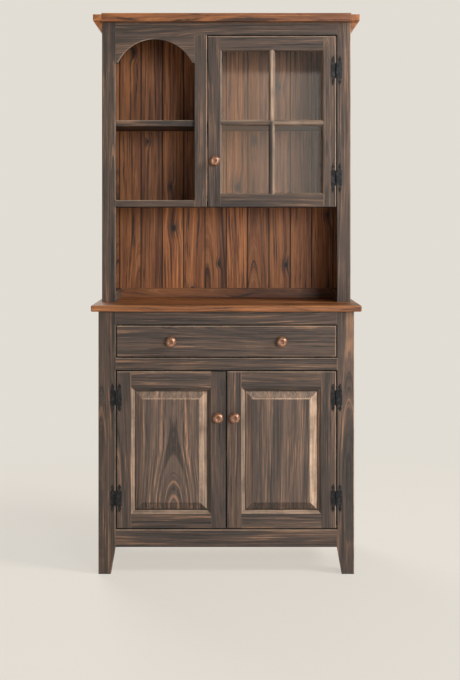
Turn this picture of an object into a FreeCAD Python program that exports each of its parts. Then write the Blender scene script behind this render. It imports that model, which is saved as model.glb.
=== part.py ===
import FreeCAD, Part
import math
import os

# A glazed cabinet: a base cupboard with one wide drawer over two raised-panel doors, and a
# hutch above it with an arched open niche on the left and a four-pane glazed door on the right.
# Millimetres. X runs to the right, the front faces -Y and Z is up. The origin is on the floor,
# under the middle of the whole cabinet.

# Overall sizes
base_width = 910.0
base_depth = 460.0
base_height = 935.0
hutch_wider_by = 6.0
hutch_depth = 300.0
hutch_height = 1031.0

# Boards
frame_thick = 20.0
side_thick = 19.0
shelf_thick = 19.0
hutch_shelf_thick = 22.0
hutch_floor_thick = 25.5
door_thick = 19.0
counter_thick = 22.0
roof_thick = 31.0
base_back_thick = 6.0
back_board_thick = 12.0

# Countertop and roof
counter_overhang = 25.0
counter_ease = 2.5
counter_corner = 6.0
roof_overhang = 25.0
roof_ease = 2.0
crown_reach = 31.0
crown_square = 23.0
crown_bevel = 39.0
crown_below_roof = 5.0

# Base face frame, from the floor up
base_stile_width = 61.0
foot_width = 44.0
foot_height = 96.0
bottom_rail_height = 62.5
mid_rail_height = 44.4
drawer_opening_height = 118.0
top_rail_height = 48.0

# Hutch face frame
hutch_stile_width = 50.0
hutch_top_rail_height = 47.0
mid_stile_width = 46.0
niche_width = 290.5
hutch_floor_level = 350.5
hutch_shelf_level = 650.0
arch_header_height = 104.0
arch_rise = 88.5
arch_step = 8.0

# Joints cut in the wood
tenon_length = 20.0
tenon_thick = 7.0
tenon_shoulder = 6.0
dado_depth = 5.0
rabbet_width = 8.0
shelf_level = 411.0
shelf_setback = 30.0
display_shelf_setback = 5.0
floor_stop = 8.0
rear_rail_height = 60.0
back_rail_height = 36.0

# Boards of the hutch back
board_pitch = 83.5
board_count = 10
board_chamfer = 1.5
board_tongue = 4.0
board_tongue_thick = 4.0
board_groove_extra = 0.4

# Doors
door_gap = 3.5
stile_face = 52.0
top_rail_face = 57.0
bottom_rail_face = 52.0
sticking_width = 13.0
sticking_depth = 7.0
groove_width = 5.5
groove_depth = 10.0
groove_lip = 10.0
panel_play = 1.0
panel_slack = 0.2
panel_bevel = 27.0
panel_step = 2.0
panel_field_inset = 0.2

# Glazed door
glazed_stile_face = 46.0
glazed_top_rail_face = 50.0
glazed_bottom_rail_face = 46.0
glazed_sticking = 6.0
glazed_sticking_depth = 5.0
glazed_lip = 10.0
glazed_rabbet = 8.0
muntin_width = 22.0
muntin_stem = 6.0
glass_thick = 3.0
glass_play = 1.0
bead_width = 7.0
bead_thick = 5.0

# Drawer
drawer_gap = 3.5
drawer_side_play = 1.5
drawer_board = 12.0
drawer_bottom_thick = 6.0
drawer_bottom_rise = 10.0
drawer_groove = 6.0
drawer_run_gap = 0.3
drawer_head_room = 4.0
dovetail_lap = 7.0
dovetail_count = 4
dovetail_width = 15.0
dovetail_angle = 9.0
runner_ledge = 15.0
runner_thick = 19.0
stop_height = 15.0
stop_thick = 4.7
drawer_knob_spread = 197.0

# Knobs
knob_radius = 19.0
knob_projection = 30.0
knob_neck_radius = 8.0
knob_neck = 8.0
knob_rim_thick = 3.0
knob_crown_depth = 9.0
knob_bevel_radius = 14.0
knob_bevel_depth = 4.0
knob_button_radius = 6.0
base_door_knob_drop = 166.6
base_door_knob_inset = 27.65
glass_door_knob_rise = 169.5
glass_door_knob_inset = 25.0

# Hinges
leaf_width = 20.0
leaf_thick = 2.0
leaf_inset = 1.0
leaf_waist = 4.2
leaf_waist_rise = 5.0
leaf_lobe = 6.0
leaf_lobe_rise = 7.0
barrel_radius = 4.2
pin_radius = 2.0
pivot_stand_off = 4.3
frame_bore_play = 0.02
door_bore_play = 0.05
knuckle_gap = 0.4
notch_clearance = 0.5
base_leaf_height = 100.0
base_barrel_height = 50.0
hutch_leaf_height = 112.0
hutch_barrel_height = 54.0
base_hinge_rise = 111.5
base_hinge_drop = 96.6
hutch_hinge_rise = 107.1
hutch_hinge_drop = 130.0

# Catches
catch_width = 44.0
catch_depth = 18.0
catch_height = 34.0

# Planes and levels that follow from the sizes above
y_back = (base_depth + max(knob_projection, counter_overhang)) / 2
y_base = y_back - base_depth
y_base_inside = y_base + frame_thick
y_hutch = y_back - hutch_depth
y_hutch_inside = y_hutch + frame_thick
y_base_back_panel = y_back - base_back_thick
y_rear_rail = y_base_back_panel - shelf_thick
y_drawer_end = y_rear_rail - stop_thick - drawer_run_gap
y_boards = y_back - back_board_thick

base_half = base_width / 2
base_inner = base_half - side_thick
base_opening = base_half - base_stile_width
hutch_half = (base_width + hutch_wider_by) / 2
hutch_inner = hutch_half - side_thick
hutch_opening = hutch_half - hutch_stile_width

z_bottom_rail = foot_height
z_door_opening = z_bottom_rail + bottom_rail_height
z_top_rail = base_height - top_rail_height
z_drawer_opening = z_top_rail - drawer_opening_height
z_mid_rail = z_drawer_opening - mid_rail_height
z_floor_board = z_door_opening + floor_stop
z_counter = base_height + counter_thick
z_roof = z_counter + hutch_height
z_hutch_rail = z_roof - hutch_top_rail_height
z_hutch_floor = z_counter + hutch_floor_level
z_niche = z_hutch_floor + hutch_floor_thick
z_hutch_shelf = z_counter + hutch_shelf_level
z_arch = z_hutch_rail - arch_header_height

x_mid_stile = -hutch_opening + niche_width
x_display = x_mid_stile + mid_stile_width
x_divider = (x_mid_stile + x_display) / 2 - side_thick / 2


def point(x, y, z):
    return FreeCAD.Vector(x, y, z)


def box(x, y, z):
    """A block between two limits along each axis, given in either order."""
    low = point(min(x), min(y), min(z))
    return Part.makeBox(abs(x[1] - x[0]), abs(y[1] - y[0]), abs(z[1] - z[0]), low)


def prism(corners, sweep):
    """A straight-sided outline swept along a vector."""
    return Part.Face(Part.makePolygon(corners + corners[:1])).extrude(sweep)


def outline(start, *moves):
    """A closed wire: one point makes a straight edge, two make an arc by way of the first."""
    edges = []
    here = start
    for move in moves:
        if len(move) == 1:
            edges.append(Part.LineSegment(here, move[0]).toShape())
        else:
            edges.append(Part.Arc(here, move[0], move[1]).toShape())
        here = move[-1]
    return Part.Wire(edges)


def joined(*pieces):
    """One solid from pieces that meet."""
    whole = pieces[0]
    for piece in pieces[1:]:
        whole = whole.fuse(piece)
    return whole.removeSplitter()


def less(shape, *cutters):
    """A shape with the room for other pieces cut out of it."""
    for cutter in cutters:
        shape = shape.cut(cutter)
    return shape


def mirrored(shape):
    """The same piece on the other side of the cabinet."""
    return shape.mirror(point(0, 0, 0), point(1, 0, 0))


def save(name, *shapes):
    """Write the solids of one named piece, or of one group of like pieces."""
    solids = [solid for shape in shapes for solid in shape.Solids]
    whole = solids[0] if len(solids) == 1 else Part.makeCompound(solids)
    whole.exportStep(os.path.join("parts", name + ".step"))


def rail(x, y_front, z):
    """A face-frame rail with a tenon at each end."""
    y = (y_front, y_front + frame_thick)
    y_tenon = y_front + (frame_thick - tenon_thick) / 2
    x_tenon = (x[0] - tenon_length, x[1] + tenon_length)
    z_tenon = (z[0] + tenon_shoulder, z[1] - tenon_shoulder)
    tenons = box(x_tenon, (y_tenon, y_tenon + tenon_thick), z_tenon)
    return joined(box(x, y, z), tenons)


def tapered_foot(width):
    """How far a foot reaches in from its outer edge at the floor, and under the rail."""
    return width - (base_stile_width - foot_width), width


# Base carcass


def base_stile():
    """The left stile, which tapers into the foot on its inner edge only."""
    at_floor, at_rail = tapered_foot(base_stile_width)
    corners = [
        point(-base_half, y_base, 0),
        point(-base_half + at_floor, y_base, 0),
        point(-base_half + at_rail, y_base, foot_height),
        point(-base_half + at_rail, y_base, base_height),
        point(-base_half, y_base, base_height),
    ]
    return prism(corners, point(0, frame_thick, 0))


def base_side(floor_board, shelf, back_panel):
    """The left side panel: cut away between its feet, housed for the boards, rabbeted behind."""
    at_floor, at_rail = tapered_foot(base_stile_width)
    corners = [
        point(-base_half, y_base_inside, 0),
        point(-base_half, y_base + at_floor, 0),
        point(-base_half, y_base + at_rail, foot_height),
        point(-base_half, y_back - at_rail, foot_height),
        point(-base_half, y_back - at_floor, 0),
        point(-base_half, y_back, 0),
        point(-base_half, y_back, base_height),
        point(-base_half, y_base_inside, base_height),
    ]
    panel = prism(corners, point(side_thick, 0, 0))
    return less(panel, floor_board, shelf, back_panel)


def runner():
    """The left drawer runner: a guide strip with a ledge below, a kicker above and a rear stop."""
    guide = -base_opening + drawer_gap - drawer_side_play
    ledge = -base_opening + runner_ledge
    low = z_drawer_opening - runner_thick
    high = z_top_rail + runner_thick
    profile = [
        point(-base_inner, y_base_inside, low),
        point(ledge, y_base_inside, low),
        point(ledge, y_base_inside, z_drawer_opening),
        point(guide, y_base_inside, z_drawer_opening),
        point(guide, y_base_inside, z_top_rail),
        point(ledge, y_base_inside, z_top_rail),
        point(ledge, y_base_inside, high),
        point(-base_inner, y_base_inside, high),
    ]
    strip = prism(profile, point(0, y_rear_rail - y_base_inside, 0))
    stop_y = (y_rear_rail - stop_thick, y_rear_rail)
    stop = box((guide, ledge), stop_y, (z_drawer_opening, z_drawer_opening + stop_height))
    return joined(strip, stop)


def countertop():
    """The counter board: flush at the back, round at its front corners, its edges bevelled."""
    half = base_half + counter_overhang
    front = y_base - counter_overhang
    board = box((-half, half), (front, y_back), (base_height, z_counter))
    bounds = [(edge, edge.BoundBox) for edge in board.Edges]
    upright_edges = [(edge, limits) for edge, limits in bounds if limits.ZLength > counter_ease]
    corners = [edge for edge, limits in upright_edges if limits.YMax < y_back - counter_corner]
    board = board.makeFillet(counter_corner, corners)
    bounds = [(edge, edge.BoundBox) for edge in board.Edges]
    level = [(edge, limits) for edge, limits in bounds if limits.ZLength < counter_ease]
    eased = [edge for edge, limits in level if limits.YMin < y_back - counter_ease]
    return board.makeChamfer(counter_ease, eased)


def make_base():
    full = (-base_opening, base_opening)
    bottom_rail = rail(full, y_base, (z_bottom_rail, z_door_opening))
    mid_rail = rail(full, y_base, (z_mid_rail, z_drawer_opening))
    top_rail = rail(full, y_base, (z_top_rail, base_height))
    stile = less(base_stile(), bottom_rail, mid_rail, top_rail)

    housed = (-base_inner - dado_depth, base_inner + dado_depth)
    inside = (y_base_inside, y_base_back_panel)
    floor_board = box(housed, inside, (z_floor_board - shelf_thick, z_floor_board))
    shelf_y = (y_base_inside + shelf_setback, y_base_back_panel)
    shelf = box(housed, shelf_y, (shelf_level, shelf_level + shelf_thick))
    rabbeted = (-base_inner - rabbet_width, base_inner + rabbet_width)
    back_z = (z_floor_board - shelf_thick, base_height)
    back_panel = box(rabbeted, (y_base_back_panel, y_back), back_z)
    side = base_side(floor_board, shelf, back_panel)
    rear_y = (y_rear_rail, y_base_back_panel)
    rear_rail = box((-base_inner, base_inner), rear_y, (base_height - rear_rail_height, base_height))

    save("base_stile_left", stile)
    save("base_stile_right", mirrored(stile))
    save("base_bottom_rail", bottom_rail)
    save("base_mid_rail", mid_rail)
    save("base_top_rail", top_rail)
    save("base_side_left", side)
    save("base_side_right", mirrored(side))
    save("base_floor_board", floor_board)
    save("base_shelf", shelf)
    save("base_back_panel", back_panel)
    save("base_rear_rail", rear_rail)
    save("drawer_runners", runner(), mirrored(runner()))
    save("countertop", countertop())


# Hutch


def arch_header():
    """The board over the niche, with a round arch that springs a small step in from each side."""
    y = (y_hutch, y_hutch + frame_thick)
    board = rail((-hutch_opening, x_mid_stile), y_hutch, (z_arch, z_hutch_rail))
    middle = (x_mid_stile - hutch_opening) / 2
    half = niche_width / 2 - arch_step
    spring_left = point(middle - half, y[0], z_arch)
    crown = point(middle, y[0], z_arch + arch_rise)
    spring_right = point(middle + half, y[0], z_arch)
    arch = Part.Face(outline(spring_left, (crown, spring_right), (spring_left,)))
    return less(board, arch.extrude(point(0, frame_thick, 0)))


def back_board(left, right, first, last):
    """One upright board, tongued into the next, with a small V where two boards meet in front."""
    tongue_front = y_boards + (back_board_thick - board_tongue_thick) / 2
    tongue_back = tongue_front + board_tongue_thick
    corners = [point(left + board_chamfer, y_boards, 0), point(right - board_chamfer, y_boards, 0)]
    corners.append(point(right, y_boards + board_chamfer, 0))
    if not last:
        corners += [
            point(right, tongue_front, 0),
            point(right + board_tongue, tongue_front, 0),
            point(right + board_tongue, tongue_back, 0),
            point(right, tongue_back, 0),
        ]
    corners += [point(right, y_back, 0), point(left, y_back, 0)]
    if not first:
        deep = left + board_tongue + board_groove_extra
        corners += [
            point(left, tongue_back, 0),
            point(deep, tongue_back, 0),
            point(deep, tongue_front, 0),
            point(left, tongue_front, 0),
        ]
    corners.append(point(left, y_boards + board_chamfer, 0))
    board = prism(corners, point(0, 0, hutch_height))
    board.translate(point(0, 0, z_counter))
    return board


def back_boards():
    """Boards of one width with a seam at the middle, and a narrow rip in each side's rabbet."""
    reach = hutch_inner + rabbet_width
    half_count = board_count // 2
    seams = [board_pitch * step for step in range(-half_count, half_count + 1)]
    edges = [-reach] + [seam for seam in seams if abs(seam) < reach - board_tongue] + [reach]
    pairs = list(zip(edges[:-1], edges[1:]))
    return [
        back_board(left, right, number == 0, number == len(pairs) - 1)
        for number, (left, right) in enumerate(pairs)
    ]


def roof_board():
    """The flat board on top, with its front edge eased."""
    front = y_hutch - roof_overhang
    board = box((-hutch_half, hutch_half), (front, y_back), (z_roof, z_roof + roof_thick))
    bounds = [(edge, edge.BoundBox) for edge in board.Edges]
    level = [(edge, limits) for edge, limits in bounds if limits.ZLength < roof_ease]
    eased = [edge for edge, limits in level if limits.YMax < front + roof_ease]
    return board.makeFillet(roof_ease, eased)


def crown_moulding():
    """The left crown: a square edge as deep as the roof, over a bevel that starts at the hutch's
    face and dies into its side."""
    top = z_roof + roof_thick - crown_below_roof
    square = top - crown_square
    outer = -hutch_half - crown_reach
    edge = box((outer, -hutch_half), (y_hutch - roof_overhang, y_back), (square, top))
    corners = [
        point(-hutch_half, y_hutch, square - crown_bevel),
        point(outer, y_hutch, square),
        point(-hutch_half, y_hutch, square),
    ]
    return joined(edge, prism(corners, point(0, hutch_depth, 0)))


def make_hutch():
    y_frame = (y_hutch, y_hutch_inside)
    top_rail = rail((-hutch_opening, hutch_opening), y_hutch, (z_hutch_rail, z_roof))
    header = arch_header()
    niche_rail = rail((-hutch_opening, x_mid_stile), y_hutch, (z_hutch_floor, z_niche))
    mid_body = box((x_mid_stile, x_display), y_frame, (z_hutch_floor, z_hutch_rail))
    tenon_y = y_hutch + (frame_thick - tenon_thick) / 2
    mid_tenon = box(
        (x_mid_stile + tenon_shoulder, x_display - tenon_shoulder),
        (tenon_y, tenon_y + tenon_thick),
        (z_hutch_rail, z_hutch_rail + tenon_length),
    )
    mid_stile = less(joined(mid_body, mid_tenon), header, niche_rail)
    top_rail = less(top_rail, mid_stile)
    stile = box((-hutch_half, -hutch_opening), y_frame, (z_counter, z_roof))
    stile_left = less(stile, top_rail, header, niche_rail)
    stile_right = less(mirrored(stile), top_rail)

    inside = (y_hutch_inside, y_boards)
    housed = hutch_inner + dado_depth
    shelf_z = (z_hutch_shelf, z_hutch_shelf + hutch_shelf_thick)
    divider = box(
        (x_divider, x_divider + side_thick), inside, (z_niche - dado_depth, z_roof)
    )
    floor_board = less(box((-housed, housed), inside, (z_hutch_floor, z_niche)), divider)
    niche_shelf = box((-housed, x_divider + dado_depth), inside, shelf_z)
    display_y = (y_hutch_inside + display_shelf_setback, y_boards)
    display_x = (x_divider + side_thick - dado_depth, housed)
    display_shelf = box(display_x, display_y, shelf_z)
    divider = less(divider, niche_shelf, display_shelf)

    rebate_x = (-hutch_inner - rabbet_width, -hutch_inner)
    rebate = box(rebate_x, (y_boards, y_back), (z_counter, z_roof))
    side = box((-hutch_half, -hutch_inner), (y_hutch_inside, y_back), (z_counter, z_roof))
    side_left = less(side, rebate, floor_board, niche_shelf)
    side_right = less(mirrored(less(side, rebate)), floor_board, display_shelf)

    rail_z = (z_counter, z_counter + back_rail_height)
    y_rail = y_boards - side_thick
    back_rail = box((-hutch_inner, hutch_inner), (y_rail, y_boards), rail_z)
    cleat = box((-hutch_inner, -hutch_opening), (y_hutch_inside, y_rail), rail_z)

    save("hutch_stile_left", stile_left)
    save("hutch_stile_right", stile_right)
    save("hutch_mid_stile", mid_stile)
    save("hutch_top_rail", top_rail)
    save("arch_header", header)
    save("niche_rail", niche_rail)
    save("hutch_side_left", side_left)
    save("hutch_side_right", side_right)
    save("hutch_floor_board", floor_board)
    save("hutch_divider", divider)
    save("niche_shelf", niche_shelf)
    save("display_shelf", display_shelf)
    save("hutch_back_boards", *back_boards())
    save("hutch_back_rail", back_rail)
    save("hutch_side_cleats", cleat, mirrored(cleat))
    save("roof_board", roof_board())
    save("crown_side_mouldings", crown_moulding(), mirrored(crown_moulding()))


# Doors


def upright(section, x_edge, inward, y_front, z):
    """A section of (distance in from an edge, depth behind the front) swept up a door."""
    corners = [point(x_edge + inward * across, y_front + depth, z[0]) for across, depth in section]
    return prism(corners, point(0, 0, z[1] - z[0]))


def crosspiece(section, z_edge, inward, y_front, x):
    """The same kind of section swept across a door."""
    corners = [point(x[0], y_front + depth, z_edge + inward * across) for across, depth in section]
    return prism(corners, point(x[1] - x[0], 0, 0))


def grooved_section(face):
    """Flat face, sticking that slopes back to the panel, and the groove that holds the panel."""
    edge = face + sticking_width
    groove_back = groove_lip + groove_width
    return [
        (0, 0),
        (face, 0),
        (edge, sticking_depth),
        (edge, groove_lip),
        (edge - groove_depth, groove_lip),
        (edge - groove_depth, groove_back),
        (edge, groove_back),
        (edge, door_thick),
        (0, door_thick),
    ]


def glazed_section(face):
    """Flat face, sticking, and the rabbet that takes the glass from behind."""
    edge = face + glazed_sticking
    return [
        (0, 0),
        (face, 0),
        (edge, glazed_sticking_depth),
        (edge, glazed_lip),
        (edge - glazed_rabbet, glazed_lip),
        (edge - glazed_rabbet, door_thick),
        (0, door_thick),
    ]


def muntin_section():
    """A glazing bar: sticking on both sides of its face and a narrow stem between the panes."""
    half = muntin_width / 2
    flat = half - glazed_sticking
    stem = muntin_stem / 2
    right = [
        (flat, 0),
        (half, glazed_sticking_depth),
        (half, glazed_lip),
        (stem, glazed_lip),
        (stem, door_thick),
    ]
    return right + [(-across, depth) for across, depth in reversed(right)]


def framing(section_of, x, z, y_front, faces, cope):
    """Two stiles and two rails, the rails coped over the stiles' sticking.

    faces holds the flat widths of a stile, the top rail and the bottom rail, and cope how far
    the rails run in past a stile's flat face before the stile is cut out of them."""
    stile_width, top_width, bottom_width = faces
    left = upright(section_of(stile_width), x[0], 1, y_front, z)
    right = upright(section_of(stile_width), x[1], -1, y_front, z)
    reach = (x[0] + stile_width - cope, x[1] - stile_width + cope)
    top = less(crosspiece(section_of(top_width), z[1], -1, y_front, reach), left, right)
    bottom = less(crosspiece(section_of(bottom_width), z[0], 1, y_front, reach), left, right)
    return left, right, top, bottom


def rectangle(x, y, z):
    corners = [point(x[0], y, z[0]), point(x[1], y, z[0]), point(x[1], y, z[1]), point(x[0], y, z[1])]
    return Part.makePolygon(corners + corners[:1])


def grown(limits, amount):
    return limits[0] - amount, limits[1] + amount


def raised_panel(x, z, y_front):
    """A panel whose wide bevel rises from the groove to a small step round the flat field."""
    tongue_y = (
        y_front + groove_lip + panel_slack,
        y_front + groove_lip + groove_width - panel_slack,
    )
    hidden = groove_depth - panel_play
    slab = box(grown(x, hidden), tongue_y, grown(z, hidden))
    field_y = y_front + panel_field_inset
    field_x = grown(x, -panel_bevel)
    field_z = grown(z, -panel_bevel)
    bevel_foot = rectangle(grown(x, -panel_slack), tongue_y[0], grown(z, -panel_slack))
    bevel_head = rectangle(field_x, field_y + panel_step, field_z)
    bevel = Part.makeLoft([bevel_foot, bevel_head], True, True)
    field = box(field_x, (field_y, field_y + panel_step), field_z)
    return joined(slab, bevel, field)


def knob(x, y_seat, z):
    """A turned mushroom knob: a neck, a flared shoulder, a narrow rim and a bevelled crown."""
    rim_front = knob_projection - knob_crown_depth
    profile = [
        (0, 0),
        (knob_neck_radius, 0),
        (knob_neck_radius, knob_neck),
        (knob_radius, rim_front - knob_rim_thick),
        (knob_radius, rim_front),
        (knob_bevel_radius, knob_projection - knob_bevel_depth),
        (knob_button_radius, knob_projection),
        (0, knob_projection),
    ]
    corners = [point(radius, -out, 0) for radius, out in profile]
    face = Part.Face(Part.makePolygon(corners + corners[:1]))
    turned = face.revolve(point(0, 0, 0), point(0, 1, 0), 360)
    turned.translate(point(x, y_seat, z))
    return turned


# Hinges


def knuckles(height):
    """Limits above the hinge's middle of the two frame knuckles and the door knuckle between."""
    end = height / 2
    third = height / 6
    frame = [(-end, -third - knuckle_gap / 2), (third + knuckle_gap / 2, end)]
    door = [(-third + knuckle_gap / 2, third - knuckle_gap / 2)]
    return frame, door


def leaf_plate(leaf_height, barrel_height):
    """The outline of one leaf: straight beside the barrel, drawn in at each end to a waist, and
    finished with a pointed spear. The pin's line is at X = 0 and the leaf reaches out along +X."""
    shoulder = barrel_height / 2
    tip = leaf_height / 2
    root = barrel_radius + notch_clearance
    middle = (root + leaf_width) / 2
    waist_z = shoulder + leaf_waist_rise
    lobe_z = waist_z + leaf_lobe_rise
    upper = [
        (root, shoulder),
        (middle - leaf_waist, waist_z),
        (middle - leaf_lobe, lobe_z),
        (middle, tip),
        (middle + leaf_lobe, lobe_z),
        (middle + leaf_waist, waist_z),
        (leaf_width, shoulder),
    ]
    lower = [(across, -level) for across, level in reversed(upper)]
    spine = [(leaf_inset, -shoulder), (leaf_inset, shoulder)]
    corners = [point(across, -leaf_thick, level) for across, level in spine + upper + lower]
    return prism(corners, point(0, leaf_thick, 0))


def leaf(leaf_height, barrel_height, own, bore):
    """A leaf with its knuckles, notched clear of the other leaf's knuckles."""
    plate = leaf_plate(leaf_height, barrel_height)
    shoulder = barrel_height / 2
    edges = [-shoulder] + [limit for pair in own for limit in pair] + [shoulder]
    for low, high in zip(edges[::2], edges[1::2]):
        if high > low:
            root = barrel_radius + notch_clearance
            plate = plate.cut(box((0, root), (-leaf_thick, 0), (low, high)))
    for low, high in own:
        barrel = Part.makeCylinder(barrel_radius, high - low, point(0, -pivot_stand_off, low))
        plate = plate.fuse(barrel)
    hole = Part.makeCylinder(bore, barrel_height, point(0, -pivot_stand_off, -shoulder))
    return plate.removeSplitter().cut(hole)


def pin(barrel_height):
    """A pin as long as the barrel."""
    return Part.makeCylinder(
        pin_radius, barrel_height, point(0, -pivot_stand_off, -barrel_height / 2)
    )


def hinges(x_pivot, y_face, levels, leaf_height, barrel_height, door_side):
    """Frame leaves, door leaves and pins; door_side is 1 where the door lies to the right."""
    own_frame, own_door = knuckles(barrel_height)
    frame_leaf = leaf(leaf_height, barrel_height, own_frame, pin_radius + frame_bore_play)
    door_leaf = leaf(leaf_height, barrel_height, own_door, pin_radius + door_bore_play)
    if door_side > 0:
        frame_leaf = mirrored(frame_leaf)
    else:
        door_leaf = mirrored(door_leaf)
    sets = []
    for shape in (frame_leaf, door_leaf, pin(barrel_height)):
        sets.append([shape.translated(point(x_pivot, y_face, level)) for level in levels])
    return sets


def base_door():
    """The wooden pieces of the left door, and its knob."""
    x = (-base_opening + door_gap, -door_gap / 2)
    z = (z_door_opening + door_gap, z_mid_rail - door_gap)
    faces = (stile_face, top_rail_face, bottom_rail_face)
    hinge_stile, meeting_stile, top, bottom = framing(grooved_section, x, z, y_base, faces, 0)
    opening_x = (x[0] + stile_face + sticking_width, x[1] - stile_face - sticking_width)
    opening_z = (z[0] + bottom_rail_face + sticking_width, z[1] - top_rail_face - sticking_width)
    return {
        "hinge_stile": hinge_stile,
        "meeting_stile": meeting_stile,
        "top_rail": top,
        "bottom_rail": bottom,
        "panel": raised_panel(opening_x, opening_z, y_base),
    }, knob(x[1] - base_door_knob_inset, y_base, z_mid_rail - base_door_knob_drop)


def catch(x_middle, y_inside, z_edge):
    """A catch block fixed behind a rail, whose lower half is the stop for the door."""
    x = (x_middle - catch_width / 2, x_middle + catch_width / 2)
    z = (z_edge - catch_height / 2, z_edge + catch_height / 2)
    return box(x, (y_inside, y_inside + catch_depth), z)


def make_base_doors():
    pieces, door_knob = base_door()
    for name, shape in pieces.items():
        save("left_door_" + name, shape)
        save("right_door_" + name, mirrored(shape))
    x_pivot = -base_opening + door_gap / 2
    levels = (z_door_opening + base_hinge_rise, z_mid_rail - base_hinge_drop)
    frame_leaves, door_leaves, pins = hinges(
        x_pivot, y_base, levels, base_leaf_height, base_barrel_height, 1
    )
    hardware = door_leaves + [door_knob]
    save("left_door_hardware", *hardware)
    save("right_door_hardware", *[mirrored(shape) for shape in hardware])
    return frame_leaves, pins


def make_glass_door():
    """The glazed door: frame, crossed muntins, four panes and the beads that hold them."""
    x = (x_display + door_gap, hutch_opening - door_gap)
    z = (z_hutch_floor, z_hutch_rail - door_gap)
    faces = (glazed_stile_face, glazed_top_rail_face, glazed_bottom_rail_face)
    wall = glazed_rabbet - glazed_sticking
    lock_stile, hinge_stile, top, bottom = framing(glazed_section, x, z, y_hutch, faces, wall)

    inner_x = grown(x, wall - glazed_stile_face)
    inner_z = (z[0] + glazed_bottom_rail_face - wall, z[1] - glazed_top_rail_face + wall)
    middle_x = (x[0] + x[1]) / 2
    middle_z = z_hutch_shelf + hutch_shelf_thick / 2
    frame = (lock_stile, hinge_stile, top, bottom)
    bar_up = less(upright(muntin_section(), middle_x, 1, y_hutch, inner_z), *frame)
    bar_across = less(crosspiece(muntin_section(), middle_z, 1, y_hutch, inner_x), *frame)
    rear_half = box(x, (y_hutch + door_thick / 2, y_hutch + door_thick), z)
    bar_up = less(bar_up, bar_across.common(rear_half))
    bar_across = less(bar_across, bar_up)

    tenon_y = y_hutch + (door_thick - tenon_thick) / 2
    tenon_x = grown(inner_x, tenon_length)
    stub_y = (tenon_y, tenon_y + tenon_thick)
    top_z = (inner_z[1] + tenon_shoulder, z[1] - tenon_shoulder)
    bottom_z = (z[0] + tenon_shoulder, inner_z[0] - tenon_shoulder)
    stubs_top = less(box(tenon_x, stub_y, top_z), box(inner_x, stub_y, top_z))
    stubs_bottom = less(box(tenon_x, stub_y, bottom_z), box(inner_x, stub_y, bottom_z))
    top = joined(top, stubs_top)
    bottom = joined(bottom, stubs_bottom)
    lock_stile = less(lock_stile, stubs_top, stubs_bottom)
    hinge_stile = less(hinge_stile, stubs_top, stubs_bottom)

    panes = []
    beads = []
    glass_y = (y_hutch + glazed_lip, y_hutch + glazed_lip + glass_thick)
    bead_y = (glass_y[1], glass_y[1] + bead_thick)
    stem = muntin_stem / 2
    for pane_x in ((inner_x[0], middle_x - stem), (middle_x + stem, inner_x[1])):
        for pane_z in ((inner_z[0], middle_z - stem), (middle_z + stem, inner_z[1])):
            panes.append(box(grown(pane_x, -glass_play), glass_y, grown(pane_z, -glass_play)))
            hole = box(grown(pane_x, -bead_width), bead_y, grown(pane_z, -bead_width))
            beads.append(less(box(pane_x, bead_y, pane_z), hole))

    save("glass_door_lock_stile", lock_stile)
    save("glass_door_hinge_stile", hinge_stile)
    save("glass_door_top_rail", top)
    save("glass_door_bottom_rail", bottom)
    save("glass_door_muntins", bar_up, bar_across)
    save("glass_panes", *panes)
    save("glazing_beads", *beads)
    levels = (z_hutch_floor + hutch_hinge_rise, z_hutch_rail - hutch_hinge_drop)
    x_pivot = hutch_opening - door_gap / 2
    frame_leaves, door_leaves, pins = hinges(
        x_pivot, y_hutch, levels, hutch_leaf_height, hutch_barrel_height, -1
    )
    knob_z = z_hutch_floor + glass_door_knob_rise
    door_knob = knob(x[0] + glass_door_knob_inset, y_hutch, knob_z)
    save("glass_door_hardware", *door_leaves, door_knob)
    return frame_leaves, pins


def make_doors():
    """The frame's halves of the hinges, their pins and the catches."""
    frame_left, pins_left = make_base_doors()
    frame_right = [mirrored(shape) for shape in frame_left]
    pins_right = [mirrored(shape) for shape in pins_left]
    frame_glass, pins_glass = make_glass_door()
    save("hinge_frame_leaves", *frame_left, *frame_right, *frame_glass)
    save("hinge_pins", *pins_left, *pins_right, *pins_glass)
    base_catch = catch(0, y_base_inside, z_mid_rail)
    lock_side = x_display + door_gap + glazed_stile_face / 2
    hutch_catch = catch(lock_side, y_hutch_inside, z_hutch_rail)
    save("door_catches", base_catch, hutch_catch)


# Drawer


def dovetails(x, z):
    """Tails on the front end of a drawer side, wider at their tips."""
    base = y_base + door_thick
    tip = y_base + dovetail_lap
    flare = (base - tip) * math.tan(math.radians(dovetail_angle))
    pitch = (z[1] - z[0]) / dovetail_count
    tails = []
    for number in range(dovetail_count):
        middle = z[0] + pitch * (number + 0.5)
        half = dovetail_width / 2
        corners = [
            point(x[0], base, middle - half),
            point(x[0], tip, middle - half - flare),
            point(x[0], tip, middle + half + flare),
            point(x[0], base, middle + half),
        ]
        tails.append(prism(corners, point(x[1] - x[0], 0, 0)))
    return tails


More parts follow.
